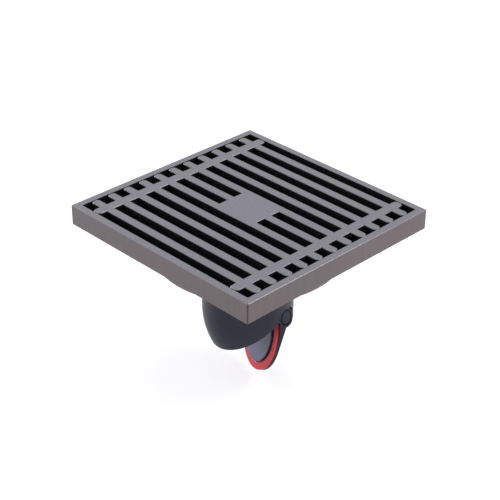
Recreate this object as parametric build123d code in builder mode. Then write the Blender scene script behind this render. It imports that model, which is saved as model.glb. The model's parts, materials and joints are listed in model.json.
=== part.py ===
from build123d import *
from math import acos, cos, degrees, hypot, radians, sin, sqrt
import os

os.makedirs("parts", exist_ok=True)

# Square floor drain with a gully trap core and a hinged flap. All sizes are millimetres.
# The origin lies on the spigot's axis at the dish's underside, where the spigot enters the pipe.
# X runs along the long bars of the grate, and +Z points up to the finished floor.

# Tray, dish and spigot: one brass casting.
plate_side = 100.0
plate_corner_radius = 0.3
floor_level = 21.0
rim_height = 8.8
rim_width = 3.1
rim_top_chamfer = 0.15
rim_bottom_chamfer = 0.3
tray_floor_thickness = 2.0
tray_corner_radius = 0.5
dish_radius_low = 38.9
dish_radius_high = 39.5
dish_edge_radius = 1.8
dish_wall = 2.4
dish_floor_low = 2.0
dish_floor_high = 3.0
dish_inner_radius = 1.6
gasket_seat_radius = 25.6
spigot_radius = 21.0
spigot_length = 15.5
spigot_chamfer = 0.5
spigot_bore_radius = 19.4

# Grate: eleven bars across two cross bars, with a bare plate in the middle.
grate_thickness = 3.6
grate_clearance = 0.3
bar_count = 11
bar_pitch = 8.18
bar_width = 3.75
bar_end_radius = 1.45
cross_bar_offset = 38.8
cross_bar_width = 4.4
cross_bar_end_radius = 1.7
blank_length = 21.0
blank_width = 20.2
grate_edge_chamfer = 0.22
pad_length = 4.4
pad_width = 3.6
pad_corner_radius = 0.6

# Trap core: a tube with a rounded lower end that is cut off at a slant.
core_turn = -25.0
core_radius = 19.0
core_wall = 2.5
mouth_wall = 3.4
bowl_start = -24.3
bowl_curve_radius = 37.7
bowl_depth = 20.5
flange_radius = 24.6
flange_thickness = 1.6
flange_chamfer = 0.4
gasket_thickness = 0.8
gasket_inner_radius = 19.7
mouth_slope = 34.0
mouth_radius = 13.6
mouth_edge_chamfer = 0.2
skirt_bottom = -29.0
skirt_height = 10.0
skirt_past_hinge = 1.6
lift_bar_width = 3.0
lift_bar_height = 5.0
o_ring_levels = {"core_o_ring_upper": -4.0, "core_o_ring_lower": -10.5}
o_ring_section = 1.6
o_ring_corner_chamfer = 0.4
o_ring_squeeze = 0.02
o_ring_groove_width = 2.0
o_ring_groove_depth = 1.3

# Hinge, measured along the hinge line (across), down the mouth and square to the mouth.
hinge_uphill = 11.3
hinge_level = -24.5
mouth_above_hinge = 1.64
flap_centre_distance = 16.1
pin_radius = 1.2
pin_clearance = 0.06
pin_inner_end = 6.2
pin_head_radius = 2.4
pin_head_start = 12.3
pin_head_gap = 0.35
lug_inner = 8.1
lug_outer = 9.7
lug_radius = 2.5
ear_inner = 9.9
ear_radius = 3.6
ear_notch_radius = 4.2
ear_notch_inner = 9.8
spring_pocket_radius = 2.2
spring_pocket_inner = 6.1

# Flap, shown open as far as the photograph shows it.
open_angle = 40.5
plate_radius = 16.3
plate_back = -0.85
plate_front = 0.75
plate_back_recess_radius = 12.6
plate_back_recess_depth = 0.5
hinge_bite_radius = 3.1
hinge_bite_inner = 6.0
seal_radius = 16.3
seal_inner_radius = 13.2
seal_lip_radius = 12.1
seal_lip_thickness = 0.4
seal_bite_radius = 3.75
seal_gap = 0.12
seal_bevel = 0.3
disc_radius = 12.9
disc_boss_radius = 12.0
disc_top = 2.25
disc_edge_chamfer = 0.3

# Torsion springs that close the flap.
wire_radius = 0.2
wire_sides = 6
coil_radius = 1.6
coil_pitch = 0.42
coil_outer_end = 7.7
coil_turns_whole = 3
body_leg_reach = 3.4
flap_leg_reach = 8.0
body_leg_gap = 0.1

# Levels that follow from the sizes above.
rim_bottom = floor_level - rim_height
tray_floor = rim_bottom + tray_floor_thickness
grate_bottom = floor_level - grate_thickness
tray_opening = plate_side - 2 * rim_width
grate_reach = tray_opening / 2 - grate_clearance
gasket_top = dish_floor_low + gasket_thickness
flange_top = gasket_top + flange_thickness
bore_radius = core_radius - core_wall

# Directions: across runs along the hinge, uphill square to it on the level.
across = Vector(cos(radians(core_turn)), sin(radians(core_turn)), 0)
uphill = Vector(-sin(radians(core_turn)), cos(radians(core_turn)), 0)
upward = Vector(0, 0, 1)
hinge_point = uphill * hinge_uphill + upward * hinge_level


def tilted(angle):
    """Uphill and outward directions of a face that slopes at this angle, square to the hinge."""
    slope = radians(angle)
    return uphill * cos(slope) + upward * sin(slope), upward * cos(slope) - uphill * sin(slope)


seat_uphill, seat_normal = tilted(mouth_slope)
flap_uphill, flap_normal = tilted(mouth_slope + open_angle)

# Local Y of both planes points uphill, so the flap's centre lies at minus its distance.
seat_plane = Plane(origin=hinge_point, x_dir=across, z_dir=seat_normal)
flap_plane = Plane(origin=hinge_point, x_dir=across, z_dir=flap_normal)
mouth_plane = seat_plane.offset(mouth_above_hinge)
middle_plane = Plane(origin=(0, 0, 0), x_dir=uphill, z_dir=across)


def hinge_plane(distance, uphill_direction=seat_uphill):
    """A plane square to the hinge line, at this distance from the trap's middle."""
    return Plane(origin=hinge_point + across * distance, x_dir=uphill_direction, z_dir=across)


# The tray and its dish, cast with the spigot.
with BuildPart() as drain_body:
    with BuildSketch(Plane.XY.offset(rim_bottom)):
        RectangleRounded(plate_side, plate_side, plate_corner_radius)
    extrude(amount=rim_height)
    chamfer(drain_body.faces().sort_by(Axis.Z)[-1].edges(), rim_top_chamfer)
    chamfer(drain_body.faces().sort_by(Axis.Z)[0].edges(), rim_bottom_chamfer)
    with BuildSketch(Plane.XZ):
        with BuildLine():
            Polyline(
                (0, rim_bottom + rim_top_chamfer),
                (dish_radius_high, rim_bottom + rim_top_chamfer),
                (dish_radius_low, 0),
                (spigot_radius, 0),
                (spigot_radius, -spigot_length),
                (0, -spigot_length),
                close=True,
            )
        make_face()
    revolve(axis=Axis.Z)
    dish_edge = drain_body.edges().filter_by(GeomType.CIRCLE).filter_by(
        lambda edge: abs(edge.radius - dish_radius_low) < 0.01
    )
    fillet(dish_edge, dish_edge_radius)
    chamfer(drain_body.faces().sort_by(Axis.Z)[0].edges(), spigot_chamfer)
    with BuildSketch(Plane.XY.offset(tray_floor)):
        RectangleRounded(tray_opening, tray_opening, tray_corner_radius)
    extrude(amount=rim_height, mode=Mode.SUBTRACT)
    with BuildSketch(Plane.XZ) as dish_hollow:
        with BuildLine():
            Polyline(
                (0, floor_level),
                (dish_radius_high - dish_wall, floor_level),
                (dish_radius_low - dish_wall, dish_floor_high),
                (gasket_seat_radius, dish_floor_low),
                (spigot_bore_radius, dish_floor_low),
                (spigot_bore_radius, -2 * spigot_length),
                (0, -2 * spigot_length),
                close=True,
            )
        make_face()
        wall_corner = dish_hollow.vertices().filter_by(
            lambda corner: abs(corner.Y - dish_floor_high) < 0.01 or abs(corner.Z - dish_floor_high) < 0.01
        )
        fillet(wall_corner, dish_inner_radius)
    revolve(axis=Axis.Z, mode=Mode.SUBTRACT)
    with BuildSketch(Plane.XY.offset(tray_floor)):
        with GridLocations(2 * cross_bar_offset, (bar_count - 1) * bar_pitch, 2, 2):
            RectangleRounded(pad_length, pad_width, pad_corner_radius)
    extrude(amount=grate_bottom - tray_floor)

# The lift-out grate.
with BuildPart() as grate:
    with BuildSketch(Plane.XY.offset(grate_bottom)):
        with GridLocations(0, bar_pitch, 1, bar_count):
            RectangleRounded(2 * grate_reach, bar_width, bar_end_radius)
        with GridLocations(2 * cross_bar_offset, 0, 2, 1):
            RectangleRounded(cross_bar_width, 2 * grate_reach, cross_bar_end_radius)
        Rectangle(blank_length, blank_width)
    extrude(amount=grate_thickness)
    chamfer(grate.faces().sort_by(Axis.Z)[-1].edges(), grate_edge_chamfer)


def core_side(inset):
    """The core's rounded lower end, moved in by this much, and the way back up its axis."""
    curve_radius = bowl_curve_radius - inset
    foot_radius = core_radius - bowl_curve_radius + sqrt(curve_radius**2 - bowl_depth**2)
    foot = (foot_radius, bowl_start - bowl_depth)
    RadiusArc((core_radius - inset, bowl_start), foot, curve_radius)
    Polyline(foot, (0, bowl_start - bowl_depth), (0, flange_top))


# The hollow in the trap core: it follows the round side, and ends above the slanted mouth.
with BuildPart() as core_hollow:
    with BuildSketch(Plane.XZ):
        with BuildLine():
            core_side(core_wall)
            Polyline((0, flange_top), (bore_radius, flange_top), (bore_radius, bowl_start))
        make_face()
    revolve(axis=Axis.Z)
    split(bisect_by=mouth_plane.offset(mouth_wall), keep=Keep.TOP)

# The trap core's body.
with BuildPart() as core_body:
    with BuildSketch(Plane.XZ):
        with BuildLine():
            core_side(0)
            Polyline(
                (0, flange_top),
                (flange_radius, flange_top),
                (flange_radius, gasket_top),
                (core_radius, gasket_top),
                (core_radius, bowl_start),
            )
        make_face()
        for ring_level in o_ring_levels.values():
            with Locations((core_radius, ring_level)):
                Rectangle(2 * o_ring_groove_depth, o_ring_groove_width, mode=Mode.SUBTRACT)
    revolve(axis=Axis.Z)
    flange_rim = core_body.faces().sort_by(Axis.Z)[-1].edges()
    chamfer(flange_rim, flange_chamfer)
    split(bisect_by=mouth_plane, keep=Keep.TOP)
    add(core_hollow.part, mode=Mode.SUBTRACT)
    with BuildSketch(mouth_plane):
        with Locations((0, -flap_centre_distance)):
            Circle(mouth_radius)
    extrude(amount=2 * mouth_wall, dir=upward, mode=Mode.SUBTRACT)
    mouth_face = core_body.faces().filter_by(lambda face: face.normal_at().dot(seat_normal) < -0.999)
    chamfer(mouth_face.edges(), mouth_edge_chamfer)
    with BuildSketch(Plane(origin=(0, 0, skirt_bottom), x_dir=across, z_dir=upward)):
        Circle(core_radius)
        Circle(bore_radius, mode=Mode.SUBTRACT)
        with Locations((0, hinge_uphill + skirt_past_hinge + core_radius / 2)):
            Rectangle(2 * core_radius, core_radius, mode=Mode.INTERSECT)
    extrude(amount=skirt_height)
    for side in (-1, 1):
        with BuildSketch(hinge_plane(side * ear_notch_inner)):
            Circle(ear_notch_radius)
        extrude(amount=side * core_radius, mode=Mode.SUBTRACT)
        with BuildSketch(hinge_plane(side * spring_pocket_inner)):
            Circle(spring_pocket_radius)
        extrude(amount=side * (lug_inner - spring_pocket_inner), mode=Mode.SUBTRACT)
        with BuildSketch(hinge_plane(side * lug_inner)):
            Circle(lug_radius)
            with Locations((0, lug_radius)):
                Rectangle(2 * lug_radius, 2 * lug_radius)
            Circle(pin_radius + pin_clearance, mode=Mode.SUBTRACT)
        extrude(amount=side * (lug_outer - lug_inner))
    with BuildSketch(Plane(origin=(0, 0, flange_top), x_dir=across, z_dir=upward)):
        Rectangle(2 * bore_radius + core_wall, lift_bar_width)
    extrude(amount=-lift_bar_height)

# The rubber washer under the core's flange.
with BuildPart() as core_gasket:
    with BuildSketch(Plane.XY.offset(dish_floor_low)):
        Circle(flange_radius)
        Circle(gasket_inner_radius, mode=Mode.SUBTRACT)
    extrude(amount=gasket_thickness)

# Rubber rings that seal the core in the spigot.
o_rings = {}
for ring_name, ring_level in o_ring_levels.items():
    with BuildPart() as o_ring:
        with BuildSketch(Plane.XZ) as ring_section:
            with Locations((spigot_bore_radius - o_ring_squeeze - o_ring_section / 2, ring_level)):
                Rectangle(o_ring_section, o_ring_section)
            chamfer(ring_section.vertices(), o_ring_corner_chamfer)
        revolve(axis=Axis.Z)
    o_rings[ring_name] = o_ring.part

# The flap's plate with its two ears. The core's round side, swung open with the flap, trims the ears,
# so that they are flush with the core when the flap is shut.
trim_angle = radians(open_angle)
trim_origin = hinge_point - (uphill * cos(trim_angle) + upward * sin(trim_angle)) * hinge_uphill
trim_normal = upward * cos(trim_angle) - uphill * sin(trim_angle)
trim_plane = Plane(origin=trim_origin, x_dir=across, z_dir=trim_normal)
trim_reach = 60.0

with BuildPart() as flap:
    with BuildSketch(flap_plane.offset(plate_back)):
        with Locations((0, -flap_centre_distance)):
            Circle(plate_radius)
        for side in (-1, 1):
            with Locations((side * (ear_inner + plate_radius) / 2, -flap_centre_distance / 2)):
                Rectangle(plate_radius - ear_inner, flap_centre_distance)
    extrude(amount=plate_front - plate_back)
    for side in (-1, 1):
        with BuildSketch(hinge_plane(side * hinge_bite_inner, flap_uphill)):
            Circle(hinge_bite_radius)
        extrude(amount=side * (ear_inner - hinge_bite_inner), mode=Mode.SUBTRACT)
        with BuildSketch(hinge_plane(side * ear_inner, flap_uphill)):
            Circle(ear_radius)
        extrude(amount=side * (core_radius - ear_inner))
    with BuildSketch(trim_plane.offset(-trim_reach)):
        Circle(core_radius)
    extrude(amount=2 * trim_reach, mode=Mode.INTERSECT)
    for side in (-1, 1):
        with BuildSketch(hinge_plane(side * ear_inner, flap_uphill)):
            Circle(pin_radius)
        extrude(amount=side * core_radius, mode=Mode.SUBTRACT)
        with BuildSketch(hinge_plane(side * pin_head_start, flap_uphill)):
            Circle(pin_head_radius + pin_head_gap)
        extrude(amount=side * core_radius, mode=Mode.SUBTRACT)
    with BuildSketch(flap_plane.offset(plate_back)):
        with Locations((0, -flap_centre_distance)):
            Circle(plate_back_recess_radius)
    extrude(amount=plate_back_recess_depth, mode=Mode.SUBTRACT)

# The red silicone ring round the flap's raised disc. Its inner lip is held under the disc.
with BuildPart() as flap_seal:
    with BuildSketch(flap_plane.offset(plate_front)):
        with Locations((0, -flap_centre_distance)):
            Circle(seal_radius)
            Circle(seal_inner_radius, mode=Mode.SUBTRACT)
    extrude(amount=mouth_above_hinge - seal_gap - plate_front)
    chamfer(flap_seal.edges().sort_by(SortBy.LENGTH)[-2:], seal_bevel)
    with BuildSketch(flap_plane.offset(plate_front)):
        with Locations((0, -flap_centre_distance)):
            Circle(seal_inner_radius)
            Circle(seal_lip_radius, mode=Mode.SUBTRACT)
    extrude(amount=seal_lip_thickness)
    for side in (-1, 1):
        with BuildSketch(hinge_plane(side * hinge_bite_inner, flap_uphill)):
            Circle(seal_bite_radius)
        extrude(amount=side * core_radius, mode=Mode.SUBTRACT)

# The raised disc that clamps the ring and centres the flap in the mouth.
with BuildPart() as flap_disc:
    with BuildSketch(flap_plane.offset(plate_front)):
        with Locations((0, -flap_centre_distance)):
            Circle(disc_boss_radius)
    extrude(amount=seal_lip_thickness)
    with BuildSketch(flap_plane.offset(plate_front + seal_lip_thickness)):
        with Locations((0, -flap_centre_distance)):
            Circle(disc_radius)
    extrude(amount=disc_top - plate_front - seal_lip_thickness)
    disc_face = flap_disc.faces().sort_by(Axis(hinge_point, flap_normal))[-1]
    chamfer(disc_face.edges(), disc_edge_chamfer)

# The headed pin on the near side. It is tight in the flap's ear, and its head is flush with the ear.
with BuildPart() as hinge_pin_near:
    with BuildSketch(hinge_plane(pin_head_start)):
        Circle(pin_head_radius)
    extrude(amount=core_radius)
    with BuildSketch(trim_plane.offset(-trim_reach)):
        Circle(core_radius)
    extrude(amount=2 * trim_reach, mode=Mode.INTERSECT)
    with BuildSketch(hinge_plane(pin_inner_end)):
        Circle(pin_radius)
    extrude(amount=pin_head_start - pin_inner_end)

# The near spring. One leg bears up against the core's slanted face, the other on the flap's back.
leg_tip_height = mouth_above_hinge - wire_radius - body_leg_gap
leg_tip = hypot(body_leg_reach, leg_tip_height)
leg_tip_angle = degrees(acos(body_leg_reach / leg_tip))
coil_start_angle = leg_tip_angle - degrees(acos(coil_radius / leg_tip))
coil_end_angle = open_angle - 90.0
coil_turns = coil_turns_whole - (coil_end_angle - coil_start_angle) / 360.0


def round_the_hinge(angle):
    """A point at this angle from the seat's uphill direction, one millimetre off the hinge line."""
    return hinge_point + seat_uphill * cos(radians(angle)) + seat_normal * sin(radians(angle))


coil_plane = Plane(
    origin=hinge_point + across * coil_outer_end,
    x_dir=round_the_hinge(coil_start_angle) - hinge_point,
    z_dir=-across,
)
coil = coil_plane * Helix(pitch=coil_pitch, height=coil_pitch * coil_turns, radius=coil_radius)
body_leg_tip = coil @ 0 - coil % 0 * sqrt(leg_tip**2 - coil_radius**2)

with BuildPart() as torsion_spring_near:
    with BuildLine() as spring_path:
        Line(body_leg_tip, coil @ 0)
        add(coil)
        Line(coil @ 1, coil @ 1 + coil % 1 * flap_leg_reach)
    with BuildSketch(Plane(origin=body_leg_tip, z_dir=coil % 0)):
        RegularPolygon(wire_radius, wire_sides)
    sweep(path=spring_path.wire())

# The far pin and spring are the near ones mirrored in the trap's middle plane.
with BuildPart() as hinge_pin_far:
    add(mirror(hinge_pin_near.part, about=middle_plane, mode=Mode.PRIVATE))

with BuildPart() as torsion_spring_far:
    add(mirror(torsion_spring_near.part, about=middle_plane, mode=Mode.PRIVATE))

pieces = {
    "drain_body": drain_body.part,
    "grate": grate.part,
    "core_body": core_body.part,
    "core_gasket": core_gasket.part,
    **o_rings,
    "flap": flap.part,
    "flap_seal": flap_seal.part,
    "flap_disc": flap_disc.part,
    "hinge_pin_near": hinge_pin_near.part,
    "hinge_pin_far": hinge_pin_far.part,
    "torsion_spring_near": torsion_spring_near.part,
    "torsion_spring_far": torsion_spring_far.part,
}

for piece_name, piece in pieces.items():
    piece.label = piece_name
    export_step(piece, f"parts/{piece_name}.step")
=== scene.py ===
"""Finishes and stage for a square floor drain whose trap core closes with a sprung flap.

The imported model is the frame. This file gives each of its pieces a finish, shapes the soft rings
and the round wire springs, and sets up a pale studio with a camera at the photograph's angle.
"""

import json
from math import cos, pi, radians, sin, tau

import bmesh
import bpy
from mathutils import Matrix, Vector


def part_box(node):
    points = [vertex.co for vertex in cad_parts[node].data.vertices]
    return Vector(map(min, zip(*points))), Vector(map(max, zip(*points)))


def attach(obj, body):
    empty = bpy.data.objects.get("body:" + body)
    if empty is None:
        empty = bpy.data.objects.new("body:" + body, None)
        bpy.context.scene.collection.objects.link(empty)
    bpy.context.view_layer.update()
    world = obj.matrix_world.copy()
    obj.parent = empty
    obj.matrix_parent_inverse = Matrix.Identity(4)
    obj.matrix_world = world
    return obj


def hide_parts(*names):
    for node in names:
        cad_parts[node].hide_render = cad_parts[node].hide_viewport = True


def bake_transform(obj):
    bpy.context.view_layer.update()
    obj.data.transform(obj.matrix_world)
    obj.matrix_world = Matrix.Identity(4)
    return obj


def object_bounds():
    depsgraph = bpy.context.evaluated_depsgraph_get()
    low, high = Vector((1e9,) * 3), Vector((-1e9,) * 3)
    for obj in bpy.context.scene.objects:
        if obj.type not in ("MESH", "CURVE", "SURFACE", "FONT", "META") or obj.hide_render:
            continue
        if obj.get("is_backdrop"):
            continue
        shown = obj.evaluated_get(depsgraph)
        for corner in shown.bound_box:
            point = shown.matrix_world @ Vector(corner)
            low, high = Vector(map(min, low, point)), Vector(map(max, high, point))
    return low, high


bl_info = {
    "name": "Floor drain finish",
    "version": (1, 0, 0),
    "blender": (4, 5, 0),
    "location": "View3D > Sidebar > Floor drain",
    "description": "Gives a square floor drain its finishes, its soft ring and a studio stage",
    "category": "Object",
}

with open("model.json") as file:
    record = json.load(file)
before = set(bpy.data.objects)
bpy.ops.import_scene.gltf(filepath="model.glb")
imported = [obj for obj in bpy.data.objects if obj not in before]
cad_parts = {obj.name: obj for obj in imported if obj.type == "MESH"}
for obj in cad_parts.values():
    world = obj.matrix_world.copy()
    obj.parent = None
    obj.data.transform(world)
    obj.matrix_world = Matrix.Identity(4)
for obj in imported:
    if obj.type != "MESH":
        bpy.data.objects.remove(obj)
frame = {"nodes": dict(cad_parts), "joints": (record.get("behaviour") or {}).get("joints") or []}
cad_nodes = frame["nodes"]
flap_hinge = frame["joints"][0]

MM = 0.001
UP = Vector((0, 0, 1))

# The hinge line and the flap's own directions, at the pose that the model is stored in.
HINGE_POINT = Vector(flap_hinge["pos_m"])
ACROSS = Vector(flap_hinge["axis"]).normalized()
UPHILL = UP.cross(ACROSS)
FLAP_SLOPE = radians(74.5)
FLAP_UPHILL = UPHILL * cos(FLAP_SLOPE) + UP * sin(FLAP_SLOPE)
FLAP_NORMAL = UP * cos(FLAP_SLOPE) - UPHILL * sin(FLAP_SLOPE)
HINGE_TO_FLAP_CENTRE = 16.1 * MM
FLAP_CENTRE = HINGE_POINT - FLAP_UPHILL * HINGE_TO_FLAP_CENTRE

# Bands of painted shade in the gaps and recesses round the hinge, beyond the outer faces of the
# core's
# lugs: each one's inner and outer radius from the hinge line.
LUG_FACE = 9.65 * MM
EAR_NOTCH_SHADE = (0.0, 4.3 * MM)
EAR_RIM_SHADE = (3.45 * MM, 3.65 * MM)
PIN_RECESS_SHADE = (0.0, 2.96 * MM)
PIN_HEAD_RIM_SHADE = (2.15 * MM, 2.5 * MM)

# The tray's inside, painted dark as painted shade in its hollows.
FLOOR_LEVEL = 21.0 * MM
EDGE_DEPTH = 0.25 * MM
TRAY_OPENING_HALF = 46.95 * MM
TRAY_UNDERSIDE = 13.2 * MM
DISH_INNER_RADIUS = 37.5 * MM
DISH_UNDERSIDE = 1.0 * MM
BORE_RADIUS = 20.2 * MM
BELOW_SPIGOT = -16.0 * MM

# The plate's outside: its upright corners and the line along its lower edge, painted dark as
# painted shade, and what lies below that, painted lighter as painted light.
CORNER_SHADE_START = 49.55 * MM
UNDERSIDE_TOP = 12.25 * MM
BASE_SHADE_TOP = 12.6 * MM

# The silicone ring's lip and heights from the flap's middle plane, and its bites round the lugs.
LIP_RADIUS = 12.1 * MM
RING_BOTTOM = 0.75 * MM
LIP_TOP = 1.15 * MM
RING_TOP = 1.52 * MM
RING_STEPS = 160
BITE_RADIUS = 3.75 * MM
BITE_MIDDLE = 16.0 * MM
BITE_LENGTH = 20.0 * MM
BITE_STEPS = 96

# The rubber washer and the two rubber rings.
WASHER_INNER_RADIUS = 19.7 * MM
WASHER_EDGE = 0.2 * MM
RUBBER_STEPS = 128
RUBBER_SECTION_STEPS = 20

# The springs. Their angles go round the hinge, from the uphill direction of the slanted mouth.
MOUTH_SLOPE = radians(34.0)
COIL_START = radians(-42.5)
COIL_TURNS = 3.0194
COIL_PITCH = 0.42 * MM
COIL_OUTER_END = 7.7 * MM
STEPS_A_TURN = 32
WIRE_SECTION_STEPS = 12
CORE_LEG = 3.28 * MM
FLAP_LEG = 8.0 * MM

# Points this near each other are one, and edges sharper than this stay crisp.
SAME_POINT = 0.001 * MM
SAME_LENGTH = 0.01 * MM
SHARP_ANGLE = radians(35)

# The camera that was fitted to the plate's corners. Pixels are of the 500 by 500 photograph.
PHOTO_SIDE_PX = 500
FOCAL_PX = 1360.8
CAMERA_AZIMUTH = radians(44.959)
CAMERA_ELEVATION = radians(30.848)
CAMERA_ROLL = radians(0.743)
CAMERA_DISTANCE = 0.5413
CAMERA_CLIP = 0.01
PLATE_CENTRE_PX = (248.98, 207.38)
SENSOR_MM = 36.0

# The stage. The floor lies low enough for the flap to swing fully open above it.
FLOOR_GAP = 3.0 * MM
FLOOR_REACH = 3.0
WORLD_LIGHT = 0.75
PAPER_SEEN_GLOW = 0.1
PAPER_CAMERA_GLOW = 0.45
# Each lamp's name, place and side in metres, power in watts, and colour.
LAMPS = (
    ("sky_softbox", (0.45, 0.5, 0.8), 0.5, 4.0, "#fbfaff"),
    ("left_softbox", (-0.88, -0.05, 0.13), 0.6, 7.0, "#e2e8ff"),
    ("right_fill", (0.85, -0.35, 0.15), 0.6, 2.0, "#fff8f2"),
)


def linear(hex_colour):
    """The linear colour and full alpha that an sRGB hex value stands for."""
    channels = [int(hex_colour[start : start + 2], 16) / 255 for start in (1, 3, 5)]
    straight = [c / 12.92 if c <= 0.04045 else ((c + 0.055) / 1.055) ** 2.4 for c in channels]
    return (*straight, 1.0)


def colour_property(name, description, hex_colour):
    """A colour that the panel shows, from its sRGB hex value."""
    return bpy.props.FloatVectorProperty(
        name=name,
        description=description,
        subtype="COLOR",
        size=4,
        min=0,
        max=1,
        default=linear(hex_colour),
    )


def length_property(name, description, millimetres):
    """A length that the panel shows, from its value in millimetres."""
    return bpy.props.FloatProperty(
        name=name,
        description=description,
        default=millimetres * MM,
        precision=5,
        unit="LENGTH",
    )


class DrainColours(bpy.types.PropertyGroup):
    """The colours of the drain's finishes."""

    # The top's cooler, lighter tone and the sides' warmer, darker tone are partly painted light.
    gunmetal_top_lit: colour_property("Gunmetal", "Satin gun-grey plating on the top faces", "#84838b")
    linished_shaded: colour_property("Linished sides", "Plating on the linished sides, warmer", "#837b7c")
    # The underside's lighter colour is painted light.
    underside_lit: colour_property("Underside", "The dish, the spigot and the base, as cast", "#8f898c")
    # The inside's dark colour is painted shade in the hollows.
    inside: colour_property("Inside", "The dark inside and the walls of the slots", "#353235")
    core_plastic: colour_property("Core plastic", "Dark blue-grey moulded ABS", "#23232d")
    # The disc's face colour is partly a lighter plastic and partly painted light.
    disc_lit_face: colour_property("Disc plastic", "The flap's disc, a shade lighter", "#767688")
    # The hinge's near-black bands are painted shade in its gaps and recesses.
    seam: colour_property("Seam", "Deep seams round the hinge, nearly black", "#060608")
    silicone: colour_property("Silicone", "Red silicone of the flap's ring", "#e2424b")
    rubber: colour_property("Rubber", "Black rubber of the washer and rings", "#141414")
    wire: colour_property("Spring wire", "Drawn stainless wire", "#b8b6b0")
    paper: colour_property("Paper", "The studio's floor", "#cccccc")


class DrainSizes(bpy.types.PropertyGroup):
    """The sizes of what is shaped here."""

    ring_radius: length_property("Ring radius", "Outer radius of the silicone ring", 16.3)
    ring_inner_radius: length_property("Ring inner radius", "Inner radius of the ring's body", 13.2)
    ring_edge: length_property("Ring edge", "Rounding of the silicone ring's edges", 0.32)
    wire_radius: length_property("Wire radius", "Radius of the spring wire", 0.2)
    coil_radius: length_property("Coil radius", "Radius of the springs' coils", 1.6)
    brush_mark: length_property("Brush mark", "Width of one brushed line on the sides", 0.9)
    grain: length_property("Grain", "Size of the grain on the top faces", 0.7)


def fill_inputs(tree, node, values):
    """Links a node's inputs to the sockets among these values, and sets its other inputs."""
    for socket, value in values.items():
        if isinstance(value, bpy.types.NodeSocket):
            tree.links.new(value, node.inputs[socket])
        else:
            node.inputs[socket].default_value = value


def add_node(tree, kind, values=None, **settings):
    """Adds one node to a tree, with its settings, its values and its links."""
    node = tree.nodes.new(kind)
    for name, setting in settings.items():
        setattr(node, name, setting)
    fill_inputs(tree, node, values or {})
    return node


def new_material(name):
    """An empty node material, with the shader and the object's own coordinates to build on."""
    material = bpy.data.materials.new(name)
    material.use_nodes = True
    tree = material.node_tree
    shader = tree.nodes["Principled BSDF"]
    coordinates = add_node(tree, "ShaderNodeTexCoord").outputs["Object"]
    return material, tree, shader, coordinates


def varied(tree, colour, pattern, share):
    """The colour, made this share darker and lighter along a pattern."""
    ends = {"Factor": pattern}
    for end, change in (("A", 1 - share), ("B", 1 + share)):
        ends[end] = [min(1.0, channel * change) for channel in colour[:3]] + [1.0]
    return add_node(tree, "ShaderNodeMix", ends, data_type="RGBA").outputs["Result"]


def uneven(tree, coordinates, size, stretch=(1, 1, 1), detail=2.0):
    """A random pattern with features of this size in metres, longer where stretch is small."""
    placed = add_node(tree, "ShaderNodeMapping", {"Vector": coordinates, "Scale": stretch})
    values = {"Vector": placed.outputs["Vector"], "Scale": 1 / size, "Detail": detail}
    return add_node(tree, "ShaderNodeTexNoise", values).outputs["Fac"]


def painted_edge_shade_share(tree, coordinates):
    """Part of the way to one where shade is painted as a dark line: corners and lower edge."""
    mirrored = add_node(tree, "ShaderNodeVectorMath", {0: coordinates}, operation="ABSOLUTE")
    beside = add_node(tree, "ShaderNodeSeparateXYZ", {"Vector": mirrored.outputs["Vector"]})
    nearer = add_node(
        tree,
        "ShaderNodeMath",
        {0: beside.outputs["X"], 1: beside.outputs["Y"]},
        operation="MINIMUM",
    )
    on_corner = add_node(
        tree,
        "ShaderNodeMath",
        {0: nearer.outputs[0], 1: CORNER_SHADE_START},
        operation="GREATER_THAN",
    )
    height = add_node(tree, "ShaderNodeSeparateXYZ", {"Vector": coordinates}).outputs["Z"]
    middle, half = (BASE_SHADE_TOP + UNDERSIDE_TOP) / 2, (BASE_SHADE_TOP - UNDERSIDE_TOP) / 2
    on_base = add_node(
        tree, "ShaderNodeMath", {0: height, 1: middle, 2: half}, operation="COMPARE"
    )
    # A corner's line of painted shade is much darker than the one along the base.
    corner_line, base_line = (
        add_node(tree, "ShaderNodeMath", {0: line.outputs[0], 1: depth}, operation="MULTIPLY")
        for line, depth in ((on_corner, 0.6), (on_base, 0.25))
    )
    return add_node(
        tree,
        "ShaderNodeMath",
        {0: corner_line.outputs[0], 1: base_line.outputs[0]},
        operation="MAXIMUM",
    ).outputs[0]


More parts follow.
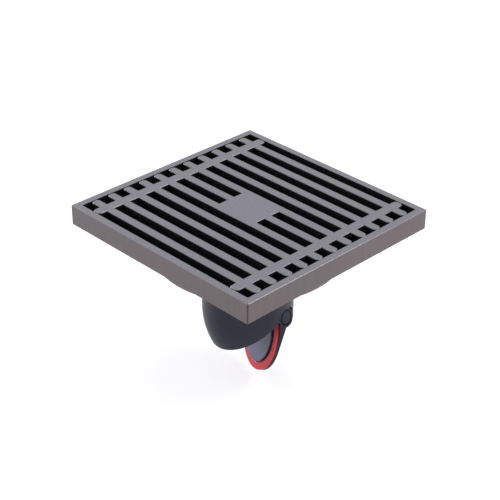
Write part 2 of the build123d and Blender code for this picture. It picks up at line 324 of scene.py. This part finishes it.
def painted_inside_shade_share(tree, coordinates):
    """Painted shade: one on the walls of the slots and inside the tray, the dish and the bore, zero
    outside.
    """
    mirrored = add_node(tree, "ShaderNodeVectorMath", {0: coordinates}, operation="ABSOLUTE")
    beside = add_node(tree, "ShaderNodeSeparateXYZ", {"Vector": mirrored.outputs["Vector"]})
    square_reach = add_node(
        tree,
        "ShaderNodeMath",
        {0: beside.outputs["X"], 1: beside.outputs["Y"]},
        operation="MAXIMUM",
    ).outputs[0]
    level = add_node(
        tree, "ShaderNodeVectorMath", {0: coordinates, 1: (1, 1, 0)}, operation="MULTIPLY"
    )
    round_reach = add_node(
        tree, "ShaderNodeVectorMath", {0: level.outputs["Vector"]}, operation="LENGTH"
    ).outputs["Value"]
    height = add_node(tree, "ShaderNodeSeparateXYZ", {"Vector": coordinates}).outputs["Z"]
    # A point lies in a hollow where its reach from the middle is less, and its height more.
    hollows = (
        (square_reach, TRAY_OPENING_HALF, TRAY_UNDERSIDE),
        (round_reach, DISH_INNER_RADIUS, DISH_UNDERSIDE),
        (round_reach, BORE_RADIUS, BELOW_SPIGOT),
    )
    share = 0.0
    for reach, limit, bottom in hollows:
        within = add_node(tree, "ShaderNodeMath", {0: reach, 1: limit}, operation="LESS_THAN")
        above = add_node(tree, "ShaderNodeMath", {0: height, 1: bottom}, operation="GREATER_THAN")
        hollow = add_node(
            tree,
            "ShaderNodeMath",
            {0: within.outputs[0], 1: above.outputs[0]},
            operation="MULTIPLY",
        )
        share = add_node(
            tree, "ShaderNodeMath", {0: share, 1: hollow.outputs[0]}, operation="MAXIMUM"
        ).outputs[0]
    # It fades in over the topmost quarter of a millimetre, which is the edges' small bevel.
    depth = add_node(
        tree,
        "ShaderNodeMapRange",
        {"Value": height, "From Min": FLOOR_LEVEL, "From Max": FLOOR_LEVEL - EDGE_DEPTH},
    )
    return add_node(
        tree, "ShaderNodeMath", {0: share, 1: depth.outputs["Result"]}, operation="MULTIPLY"
    ).outputs[0]


def satin_gunmetal():
    """Cast brass with satin gun-grey plating, for the tray and its grate."""
    # It looks fine grained on top, has upright lines on its linished sides and is painted dark
    # inside, as painted shade. The top's cooler tone and the sides' warmer, darker tone are partly
    # painted light.
    colours = bpy.context.scene.drain_colours
    sizes = bpy.context.scene.drain_sizes
    material, tree, shader, coordinates = new_material("satin_gunmetal_brass")
    # Real linishing lines and blasted grain are about 0.1 mm. Both are drawn coarser, to show.
    lines = uneven(tree, coordinates, sizes.brush_mark, stretch=(1, 1, 0.03), detail=3.0)
    grain = uneven(tree, coordinates, sizes.grain, detail=3.0)
    # The plating's tone drifts over about 20 mm.
    clouds = uneven(tree, coordinates, 22 * MM)
    height = add_node(tree, "ShaderNodeSeparateXYZ", {"Vector": coordinates}).outputs["Z"]
    # Below the plate's rim the sides' colour gives way to the underside's, painted lighter as
    # painted light.
    underneath = add_node(
        tree, "ShaderNodeMath", {0: height, 1: UNDERSIDE_TOP}, operation="LESS_THAN"
    )
    sides = add_node(
        tree,
        "ShaderNodeMix",
        {
            "Factor": underneath.outputs[0],
            "A": varied(tree, colours.linished_shaded, lines, 0.12),
            "B": varied(tree, colours.underside_lit, lines, 0.12),
        },
        data_type="RGBA",
    )
    # The top's colour takes over as an edge's bevel turns from its side to face up.
    normal = add_node(tree, "ShaderNodeTexCoord").outputs["Normal"]
    upward = add_node(tree, "ShaderNodeSeparateXYZ", {"Vector": normal}).outputs["Z"]
    facing_up = add_node(
        tree, "ShaderNodeMapRange", {"Value": upward, "From Min": 0.55, "From Max": 0.95}
    )
    plated = add_node(
        tree,
        "ShaderNodeMix",
        {
            "Factor": facing_up.outputs["Result"],
            "A": sides.outputs["Result"],
            "B": varied(tree, colours.gunmetal_top_lit, grain, 0.35),
        },
        data_type="RGBA",
    )
    drift = add_node(
        tree, "ShaderNodeMapRange", {"Value": clouds, "To Min": 0.95, "To Max": 1.05}
    )
    patchy = add_node(
        tree,
        "ShaderNodeHueSaturation",
        {"Color": plated.outputs["Result"], "Value": drift.outputs["Result"]},
    )
    # Painted shade darkens the upright corners and the line along the base.
    edge_shaded = add_node(
        tree,
        "ShaderNodeMix",
        {
            "Factor": painted_edge_shade_share(tree, coordinates),
            "A": patchy.outputs["Color"],
            "B": colours.inside,
        },
        data_type="RGBA",
    )
    # The inside is painted dark, as painted shade in the hollows.
    inner = painted_inside_shade_share(tree, coordinates)
    tone = add_node(
        tree,
        "ShaderNodeMix",
        {
            "Factor": inner,
            "A": edge_shaded.outputs["Result"],
            "B": varied(tree, colours.inside, grain, 0.3),
        },
        data_type="RGBA",
    )
    # Satin plating is about 0.35 rough, and the inside with its painted shade is 0.2 rougher.
    satin = add_node(
        tree, "ShaderNodeMapRange", {"Value": lines, "To Min": 0.29, "To Max": 0.41}
    )
    roughness = add_node(
        tree,
        "ShaderNodeMath",
        {0: inner, 1: 0.2, 2: satin.outputs["Result"]},
        operation="MULTIPLY_ADD",
    )
    marks = add_node(tree, "ShaderNodeMath", {0: lines, 1: grain}, operation="ADD")
    relief = add_node(
        tree,
        "ShaderNodeBump",
        {"Height": marks.outputs[0], "Distance": 0.01 * MM, "Strength": 0.5},
    )
    fill_inputs(
        tree,
        shader,
        {
            "Base Color": tone.outputs["Result"],
            "Metallic": 1.0,
            "Roughness": roughness.outputs[0],
            "Normal": relief.outputs["Normal"],
        },
    )
    return material


def painted_hinge_shade_share(tree, coordinates, bands):
    """Where shade is painted: one in each band of radii round the hinge line, beyond the core's
    lugs, zero elsewhere.
    """
    from_hinge = add_node(
        tree, "ShaderNodeVectorMath", {0: coordinates, 1: HINGE_POINT}, operation="SUBTRACT"
    ).outputs["Vector"]
    along = add_node(
        tree, "ShaderNodeVectorMath", {0: from_hinge, 1: ACROSS}, operation="DOT_PRODUCT"
    )
    sideways = add_node(
        tree, "ShaderNodeMath", {0: along.outputs["Value"]}, operation="ABSOLUTE"
    )
    beyond_lugs = add_node(
        tree, "ShaderNodeMath", {0: sideways.outputs[0], 1: LUG_FACE}, operation="GREATER_THAN"
    )
    away = add_node(
        tree, "ShaderNodeVectorMath", {0: from_hinge, 1: ACROSS}, operation="CROSS_PRODUCT"
    )
    radius = add_node(
        tree, "ShaderNodeVectorMath", {0: away.outputs["Vector"]}, operation="LENGTH"
    ).outputs["Value"]
    share = 0.0
    for inner, outer in bands:
        in_band = add_node(
            tree,
            "ShaderNodeMath",
            {0: radius, 1: (inner + outer) / 2, 2: (outer - inner) / 2},
            operation="COMPARE",
        )
        share = add_node(
            tree, "ShaderNodeMath", {0: share, 1: in_band.outputs[0]}, operation="MAXIMUM"
        ).outputs[0]
    return add_node(
        tree, "ShaderNodeMath", {0: beyond_lugs.outputs[0], 1: share}, operation="MULTIPLY"
    ).outputs[0]


def moulded_abs(name, painted_shades=(), lit_face_colour=None):
    """Dark ABS from a polished mould, with painted shade round the hinge and a face painted lighter
    where given.
    """
    # It looks even and smooth, with soft highlights that are a little blue.
    colours = bpy.context.scene.drain_colours
    material, tree, shader, coordinates = new_material(name)
    # Its tone and gloss drift over about 6 mm.
    clouds = uneven(tree, coordinates, 6 * MM)
    # The mould's surface is smooth to the touch. This grain is what is left of its polishing.
    grain = uneven(tree, coordinates, 0.6 * MM)
    tone = varied(tree, colours.core_plastic, clouds, 0.08)
    if lit_face_colour:
        # The face is painted lighter, partly as painted light, only where the surface looks the way
        # that the flap does; the disc's side wall keeps the darker colour as painted shade.
        normal = add_node(tree, "ShaderNodeTexCoord").outputs["Normal"]
        facing = add_node(
            tree, "ShaderNodeVectorMath", {0: normal, 1: FLAP_NORMAL}, operation="DOT_PRODUCT"
        )
        lit_face_share = add_node(
            tree,
            "ShaderNodeMapRange",
            {"Value": facing.outputs["Value"], "From Min": 0.9, "From Max": 0.98},
        )
        tone = add_node(
            tree,
            "ShaderNodeMix",
            {
                "Factor": lit_face_share.outputs["Result"],
                "A": tone,
                "B": varied(tree, lit_face_colour, clouds, 0.08),
            },
            data_type="RGBA",
        ).outputs["Result"]
    if painted_shades:
        # The bands round the hinge are painted nearly black, as painted shade in its gaps and
        # recesses.
        tone = add_node(
            tree,
            "ShaderNodeMix",
            {"Factor": painted_hinge_shade_share(tree, coordinates, painted_shades), "A": tone, "B": colours.seam},
            data_type="RGBA",
        ).outputs["Result"]
    roughness = add_node(
        tree, "ShaderNodeMapRange", {"Value": clouds, "To Min": 0.26, "To Max": 0.34}
    )
    relief = add_node(
        tree, "ShaderNodeBump", {"Height": grain, "Distance": 0.004 * MM, "Strength": 0.4}
    )
    fill_inputs(
        tree,
        shader,
        {
            "Base Color": tone,
            "Roughness": roughness.outputs["Result"],
            "IOR": 1.5,
            "Specular Tint": linear("#e4e6ff"),
            "Normal": relief.outputs["Normal"],
        },
    )
    return material


def moulded_silicone():
    """Red silicone rubber, press moulded, for the flap's ring."""
    # It has a soft gloss, and light goes a little way in.
    colours = bpy.context.scene.drain_colours
    material, tree, shader, coordinates = new_material("moulded_silicone")
    # Its tone and gloss drift over about 3 mm.
    clouds = uneven(tree, coordinates, 3 * MM)
    roughness = add_node(
        tree, "ShaderNodeMapRange", {"Value": clouds, "To Min": 0.24, "To Max": 0.34}
    )
    fill_inputs(
        tree,
        shader,
        {
            "Base Color": varied(tree, colours.silicone, clouds, 0.05),
            "Roughness": roughness.outputs["Result"],
            "IOR": 1.45,
            "Subsurface Weight": 0.15,
            "Subsurface Radius": (1.0, 0.2, 0.1),
            "Subsurface Scale": 0.5 * MM,
        },
    )
    return material


def black_rubber():
    """Black rubber, moulded, for the washer and the two rings."""
    # It is dull, with a faint bloom.
    colours = bpy.context.scene.drain_colours
    material, tree, shader, coordinates = new_material("black_rubber")
    # The bloom comes in patches about 2 mm wide.
    bloom = uneven(tree, coordinates, 2 * MM)
    roughness = add_node(
        tree, "ShaderNodeMapRange", {"Value": bloom, "To Min": 0.55, "To Max": 0.7}
    )
    fill_inputs(
        tree,
        shader,
        {
            "Base Color": varied(tree, colours.rubber, bloom, 0.2),
            "Roughness": roughness.outputs["Result"],
        },
    )
    return material


def drawn_stainless():
    """Stainless steel wire, drawn, for the springs."""
    # It is bright, with fine marks from the die.
    colours = bpy.context.scene.drain_colours
    material, tree, shader, coordinates = new_material("drawn_stainless_wire")
    # Real marks are under 0.1 mm. They are drawn coarser, to show.
    marks = uneven(tree, coordinates, 0.3 * MM)
    roughness = add_node(
        tree, "ShaderNodeMapRange", {"Value": marks, "To Min": 0.22, "To Max": 0.34}
    )
    fill_inputs(
        tree,
        shader,
        {
            "Base Color": varied(tree, colours.wire, marks, 0.08),
            "Metallic": 1.0,
            "Roughness": roughness.outputs["Result"],
        },
    )
    return material


def finish_nodes(names, material):
    """Gives CAD pieces their finish through their own material slots."""
    for name in names:
        slots = cad_nodes[name].material_slots
        if not slots:
            raise RuntimeError(f"{name} has no material slot")
        for slot in slots:
            slot.material = material


def new_piece(name, shape, material):
    """An object at the origin from a finished bmesh, smooth between its sharp edges."""
    bmesh.ops.remove_doubles(shape, verts=shape.verts, dist=SAME_POINT)
    bmesh.ops.recalc_face_normals(shape, faces=shape.faces)
    for face in shape.faces:
        face.smooth = True
    mesh = bpy.data.meshes.new(name)
    shape.to_mesh(mesh)
    shape.free()
    mesh.set_sharp_from_angle(angle=SHARP_ANGLE)
    mesh.materials.append(material)
    piece = bpy.data.objects.new(name, mesh)
    bpy.context.scene.collection.objects.link(piece)
    return piece


def outlined(corners):
    """A bmesh with these points joined in a closed line."""
    shape = bmesh.new()
    verts = [shape.verts.new(corner) for corner in corners]
    for start, end in zip(verts, verts[1:] + verts[:1]):
        shape.edges.new((start, end))
    return shape


def spun(shape, centre, axis, steps):
    """Spins everything in a bmesh a full turn round an axis."""
    bmesh.ops.spin(
        shape,
        geom=shape.verts[:] + shape.edges[:],
        cent=centre,
        axis=axis,
        dvec=(0, 0, 0),
        angle=tau,
        steps=steps,
        use_merge=True,
    )


def round_edges(shape, centre):
    """The edges of a spun bmesh that run round its axis, both ends as far from the centre."""
    return [
        edge
        for edge in shape.edges
        if abs((edge.verts[0].co - centre).length - (edge.verts[1].co - centre).length)
        < SAME_LENGTH
    ]


def rounded(shape, edges, width, segments):
    """Rounds some edges of a bmesh."""
    bmesh.ops.bevel(
        shape,
        geom=edges,
        offset=width,
        segments=segments,
        profile=0.5,
        affect="EDGES",
        material=-1,
        clamp_overlap=True,
    )


def silicone_ring():
    """The flap's soft ring with its lip under the disc, cleared round the core's two lugs."""
    sizes = bpy.context.scene.drain_sizes
    section = (
        (sizes.ring_radius, RING_BOTTOM),
        (sizes.ring_radius, RING_TOP),
        (sizes.ring_inner_radius, RING_TOP),
        (sizes.ring_inner_radius, LIP_TOP),
        (LIP_RADIUS, LIP_TOP),
        (LIP_RADIUS, RING_BOTTOM),
    )
    shape = outlined(
        [FLAP_CENTRE + ACROSS * radius + FLAP_NORMAL * height for radius, height in section]
    )
    spun(shape, FLAP_CENTRE, FLAP_NORMAL, RING_STEPS)
    crests = [
        edge
        for edge in round_edges(shape, FLAP_CENTRE)
        if all(
            abs((vert.co - FLAP_CENTRE).dot(FLAP_NORMAL) - RING_TOP) < SAME_LENGTH
            for vert in edge.verts
        )
    ]
    rounded(shape, crests, sizes.ring_edge, segments=4)
    ring = new_piece("silicone_ring", shape, moulded_silicone())
    for side in (-1, 1):
        cut_with_cylinder(ring, HINGE_POINT + ACROSS * side * BITE_MIDDLE)
    return ring


def cut_with_cylinder(piece, middle):
    """Takes a round bite along the hinge line out of a piece."""
    shape = bmesh.new()
    bmesh.ops.create_cone(
        shape,
        cap_ends=True,
        segments=BITE_STEPS,
        radius1=BITE_RADIUS,
        radius2=BITE_RADIUS,
        depth=BITE_LENGTH,
        matrix=Matrix.Translation(middle) @ ACROSS.to_track_quat("Z", "Y").to_matrix().to_4x4(),
    )
    cutter_mesh = bpy.data.meshes.new("cutter")
    shape.to_mesh(cutter_mesh)
    shape.free()
    cutter = bpy.data.objects.new("cutter", cutter_mesh)
    bpy.context.scene.collection.objects.link(cutter)
    bite = piece.modifiers.new("bite", "BOOLEAN")
    bite.operation = "DIFFERENCE"
    bite.object = cutter
    bpy.context.view_layer.update()
    whole = piece.data
    evaluated = piece.evaluated_get(bpy.context.evaluated_depsgraph_get())
    piece.data = bpy.data.meshes.new_from_object(evaluated)
    piece.modifiers.remove(bite)
    bpy.data.meshes.remove(whole)
    bpy.data.objects.remove(cutter)
    bpy.data.meshes.remove(cutter_mesh)


def rubber_ring(name, node, material):
    """A round-section ring in the place of its CAD node."""
    low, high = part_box(node)
    radius = (high.z - low.z) / 2
    section_centre = Vector((high.x - radius, 0, (low.z + high.z) / 2))
    shape = bmesh.new()
    bmesh.ops.create_circle(
        shape,
        cap_ends=False,
        segments=RUBBER_SECTION_STEPS,
        radius=radius,
        matrix=Matrix.Translation(section_centre) @ Matrix.Rotation(pi / 2, 4, "X"),
    )
    spun(shape, (0, 0, 0), UP, RUBBER_STEPS)
    ring = new_piece(name, shape, material)
    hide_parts(node)
    return ring


def rubber_washer(material):
    """The flat washer under the core's flange, with rounded edges."""
    low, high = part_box("core_gasket")
    shape = outlined(
        [
            (high.x, 0, low.z),
            (high.x, 0, high.z),
            (WASHER_INNER_RADIUS, 0, high.z),
            (WASHER_INNER_RADIUS, 0, low.z),
        ]
    )
    spun(shape, (0, 0, 0), UP, RUBBER_STEPS)
    rounded(shape, round_edges(shape, Vector()), WASHER_EDGE, segments=3)
    washer = new_piece("rubber_washer", shape, material)
    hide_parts("core_gasket")
    return washer


def drawn_on(shape, edges, way):
    """Draws a loop of edges out along a straight way."""
    grown = bmesh.ops.extrude_edge_only(shape, edges=edges)["geom"]
    verts = [item for item in grown if isinstance(item, bmesh.types.BMVert)]
    bmesh.ops.translate(shape, verts=verts, vec=way)


def round_wire_spring(name, node, side, material):
    """A torsion spring of round wire, with one leg on the core and one that turns with the flap."""
    sizes = bpy.context.scene.drain_sizes
    start_angle = MOUTH_SLOPE + COIL_START
    outward = UPHILL * cos(start_angle) + UP * sin(start_angle)
    onward = outward.cross(ACROSS)
    coil_end = HINGE_POINT + ACROSS * side * COIL_OUTER_END
    section = Matrix((outward, ACROSS, onward)).transposed().to_4x4()
    shape = bmesh.new()
    bmesh.ops.create_circle(
        shape,
        cap_ends=False,
        segments=WIRE_SECTION_STEPS,
        radius=sizes.wire_radius,
        matrix=Matrix.Translation(coil_end + outward * sizes.coil_radius) @ section,
    )
    first = shape.edges[:]
    drawn_on(shape, first, -onward * CORE_LEG)
    last = bmesh.ops.spin(
        shape,
        geom=first,
        cent=coil_end,
        axis=-ACROSS,
        dvec=-ACROSS * side * COIL_PITCH / STEPS_A_TURN,
        angle=COIL_TURNS * tau,
        steps=round(COIL_TURNS * STEPS_A_TURN),
        use_merge=False,
    )["geom_last"]
    last_edges = [item for item in last if isinstance(item, bmesh.types.BMEdge)]
    turned = Matrix.Rotation(COIL_TURNS * tau, 3, -ACROSS)
    drawn_on(shape, last_edges, turned @ onward * FLAP_LEG)
    open_edges = [edge for edge in shape.edges if edge.is_boundary]
    bmesh.ops.holes_fill(shape, edges=open_edges, sides=0)
    spring = new_piece(name, shape, material)
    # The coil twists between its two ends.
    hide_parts(node)
    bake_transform(spring)


class DRAIN_OT_brass(bpy.types.Operator):
    """Finish the cast tray and its grate"""

    bl_idname = "drain.brass"
    bl_label = "Tray and grate"

    def execute(self, context):
        finish_nodes(("drain_body", "grate"), satin_gunmetal())
        return {"FINISHED"}


class DRAIN_OT_plastics(bpy.types.Operator):
    """Finish the moulded core, the flap, its disc and the hinge pins"""

    bl_idname = "drain.plastics"
    bl_label = "Core and flap"

    def execute(self, context):
        disc_lit_face_colour = context.scene.drain_colours.disc_lit_face
        core = moulded_abs("moulded_abs_core", painted_shades=(EAR_NOTCH_SHADE,))
        flap = moulded_abs("moulded_abs_flap", painted_shades=(PIN_RECESS_SHADE, EAR_RIM_SHADE))
        pins = moulded_abs("moulded_abs_pins", painted_shades=(PIN_HEAD_RIM_SHADE,))
        disc = moulded_abs("moulded_abs_disc", lit_face_colour=disc_lit_face_colour)
        finish_nodes(("core_body",), core)
        finish_nodes(("flap",), flap)
        finish_nodes(("hinge_pin_near", "hinge_pin_far"), pins)
        finish_nodes(("flap_disc",), disc)
        return {"FINISHED"}


class DRAIN_OT_rubbers(bpy.types.Operator):
    """Shape the washer and the two rings that seal the core in the drain"""

    bl_idname = "drain.rubbers"
    bl_label = "Washer and rings"

    def execute(self, context):
        material = black_rubber()
        pieces = (
            (rubber_washer(material), "core_gasket"),
            (rubber_ring("o_ring_upper", "core_o_ring_upper", material), "core_o_ring_upper"),
            (rubber_ring("o_ring_lower", "core_o_ring_lower", material), "core_o_ring_lower"),
        )
        for piece, node in pieces:
            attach(piece, "drain")
        return {"FINISHED"}


class DRAIN_OT_springs(bpy.types.Operator):
    """Wind the two torsion springs"""

    bl_idname = "drain.springs"
    bl_label = "Springs"

    def execute(self, context):
        material = drawn_stainless()
        round_wire_spring("spring_near", "torsion_spring_near", 1, material)
        round_wire_spring("spring_far", "torsion_spring_far", -1, material)
        return {"FINISHED"}


class DRAIN_OT_ring(bpy.types.Operator):
    """Shape the flap's silicone ring"""

    bl_idname = "drain.ring"
    bl_label = "Silicone ring"

    def execute(self, context):
        ring = silicone_ring()
        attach(ring, "flap")
        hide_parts("flap_seal")
        return {"FINISHED"}


def camera_directions():
    """The directions from the object to the camera, to its right and to its top."""
    back = Vector(
        (
            sin(CAMERA_AZIMUTH) * cos(CAMERA_ELEVATION),
            -cos(CAMERA_AZIMUTH) * cos(CAMERA_ELEVATION),
            sin(CAMERA_ELEVATION),
        )
    )
    level_right = Vector((cos(CAMERA_AZIMUTH), sin(CAMERA_AZIMUTH), 0))
    roll = Matrix.Rotation(CAMERA_ROLL, 3, back)
    return back, roll @ level_right, roll @ back.cross(level_right)


def add_camera(plate_centre):
    """The camera, placed so that the plate's centre falls on its pixel in the photograph."""
    back, right, top = camera_directions()
    aside = (PLATE_CENTRE_PX[0] - PHOTO_SIDE_PX / 2) / FOCAL_PX
    above = (PHOTO_SIDE_PX / 2 - PLATE_CENTRE_PX[1]) / FOCAL_PX
    data = bpy.data.cameras.new("photo_camera")
    data.sensor_width = SENSOR_MM
    data.lens = FOCAL_PX * SENSOR_MM / PHOTO_SIDE_PX
    data.clip_start = CAMERA_CLIP
    camera = bpy.data.objects.new("photo_camera", data)
    camera.matrix_world = Matrix.LocRotScale(
        plate_centre + (back - right * aside - top * above) * CAMERA_DISTANCE,
        Matrix((right, top, back)).transposed().to_quaternion(),
        None,
    )
    bpy.context.scene.collection.objects.link(camera)
    bpy.context.scene.camera = camera


def add_softbox(name, place, side, watts, colour, aim):
    """A square lamp at a place, turned to a point."""
    data = bpy.data.lights.new(name, "AREA")
    data.size = side
    data.energy = watts
    data.color = linear(colour)[:3]
    lamp = bpy.data.objects.new(name, data)
    lamp.location = place
    lamp.rotation_euler = (Vector(place) - aim).to_track_quat("Z", "Y").to_euler()
    bpy.context.scene.collection.objects.link(lamp)


def seen_directly(tree):
    """One where the camera, a reflection or a transparent piece looks, zero for other light."""
    path = add_node(tree, "ShaderNodeLightPath")
    seen = path.outputs["Is Camera Ray"]
    for other in ("Is Glossy Ray", "Is Transmission Ray"):
        seen = add_node(
            tree, "ShaderNodeMath", {0: seen, 1: path.outputs[other]}, operation="MAXIMUM"
        ).outputs[0]
    return seen


def white_surroundings():
    """A world that the camera and reflections see as white, and that lights the rest less."""
    world = bpy.data.worlds.new("studio")
    bpy.context.scene.world = world
    world.use_nodes = True
    tree = world.node_tree
    strength = add_node(
        tree,
        "ShaderNodeMapRange",
        {"Value": seen_directly(tree), "To Min": WORLD_LIGHT, "To Max": 1.0},
    )
    fill_inputs(
        tree,
        tree.nodes["Background"],
        {"Color": (1, 1, 1, 1), "Strength": strength.outputs["Result"]},
    )


def pale_floor(level):
    """A plain floor of white paper under the object."""
    shape = bmesh.new()
    bmesh.ops.create_grid(
        shape,
        x_segments=1,
        y_segments=1,
        size=FLOOR_REACH,
        matrix=Matrix.Translation((0, 0, level)),
    )
    material, tree, shader, _ = new_material("studio_paper")
    # The camera sees the paper nearly white, and a reflection sees it darker, with its shadow.
    camera_ray = add_node(tree, "ShaderNodeLightPath").outputs["Is Camera Ray"]
    camera_glow = add_node(
        tree, "ShaderNodeMath", {0: camera_ray, 1: PAPER_CAMERA_GLOW}, operation="MULTIPLY"
    )
    glow = add_node(
        tree,
        "ShaderNodeMath",
        {0: seen_directly(tree), 1: PAPER_SEEN_GLOW, 2: camera_glow.outputs[0]},
        operation="MULTIPLY_ADD",
    )
    fill_inputs(
        tree,
        shader,
        {
            "Base Color": bpy.context.scene.drain_colours.paper,
            "Roughness": 0.9,
            "Specular IOR Level": 0.0,
            "Emission Color": (1, 1, 1, 1),
            "Emission Strength": glow.outputs[0],
        },
    )
    floor = new_piece("studio_floor", shape, material)
    floor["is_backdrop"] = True


class DRAIN_OT_stage(bpy.types.Operator):
    """Set up the floor, the lamps and the camera"""

    bl_idname = "drain.stage"
    bl_label = "Stage"

    def execute(self, context):
        low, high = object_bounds()
        pale_floor(low.z - FLOOR_GAP)
        white_surroundings()
        for lamp in LAMPS:
            add_softbox(*lamp, aim=(low + high) / 2)
        add_camera(Vector((0, 0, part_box("drain_body")[1].z)))
        context.scene.view_settings.view_transform = "Standard"
        return {"FINISHED"}


class DRAIN_PT_panel(bpy.types.Panel):
    """The drain's pieces, sizes and colours"""

    bl_idname = "DRAIN_PT_panel"
    bl_label = "Floor drain"
    bl_space_type = "VIEW_3D"
    bl_region_type = "UI"
    bl_category = "Floor drain"

    def draw(self, context):
        for operator in OPERATORS:
            self.layout.operator(operator.bl_idname)
        for group in (context.scene.drain_colours, context.scene.drain_sizes):
            for name in group.__annotations__:
                self.layout.prop(group, name)


OPERATORS = (
    DRAIN_OT_brass,
    DRAIN_OT_plastics,
    DRAIN_OT_rubbers,
    DRAIN_OT_springs,
    DRAIN_OT_ring,
    DRAIN_OT_stage,
)
CLASSES = (DrainColours, DrainSizes, *OPERATORS, DRAIN_PT_panel)


def register():
    """Adds the classes and the scene's settings."""
    for item in CLASSES:
        bpy.utils.register_class(item)
    bpy.types.Scene.drain_colours = bpy.props.PointerProperty(type=DrainColours)
    bpy.types.Scene.drain_sizes = bpy.props.PointerProperty(type=DrainSizes)


def unregister():
    """Takes the settings and the classes away again."""
    del bpy.types.Scene.drain_sizes
    del bpy.types.Scene.drain_colours
    for item in reversed(CLASSES):
        bpy.utils.unregister_class(item)


def main():
    """Builds every piece and the stage."""
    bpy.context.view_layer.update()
    register()
    bpy.ops.drain.brass()
    bpy.ops.drain.plastics()
    bpy.ops.drain.rubbers()
    bpy.ops.drain.springs()
    bpy.ops.drain.ring()
    bpy.ops.drain.stage()


if __name__ == "__main__":
    main()
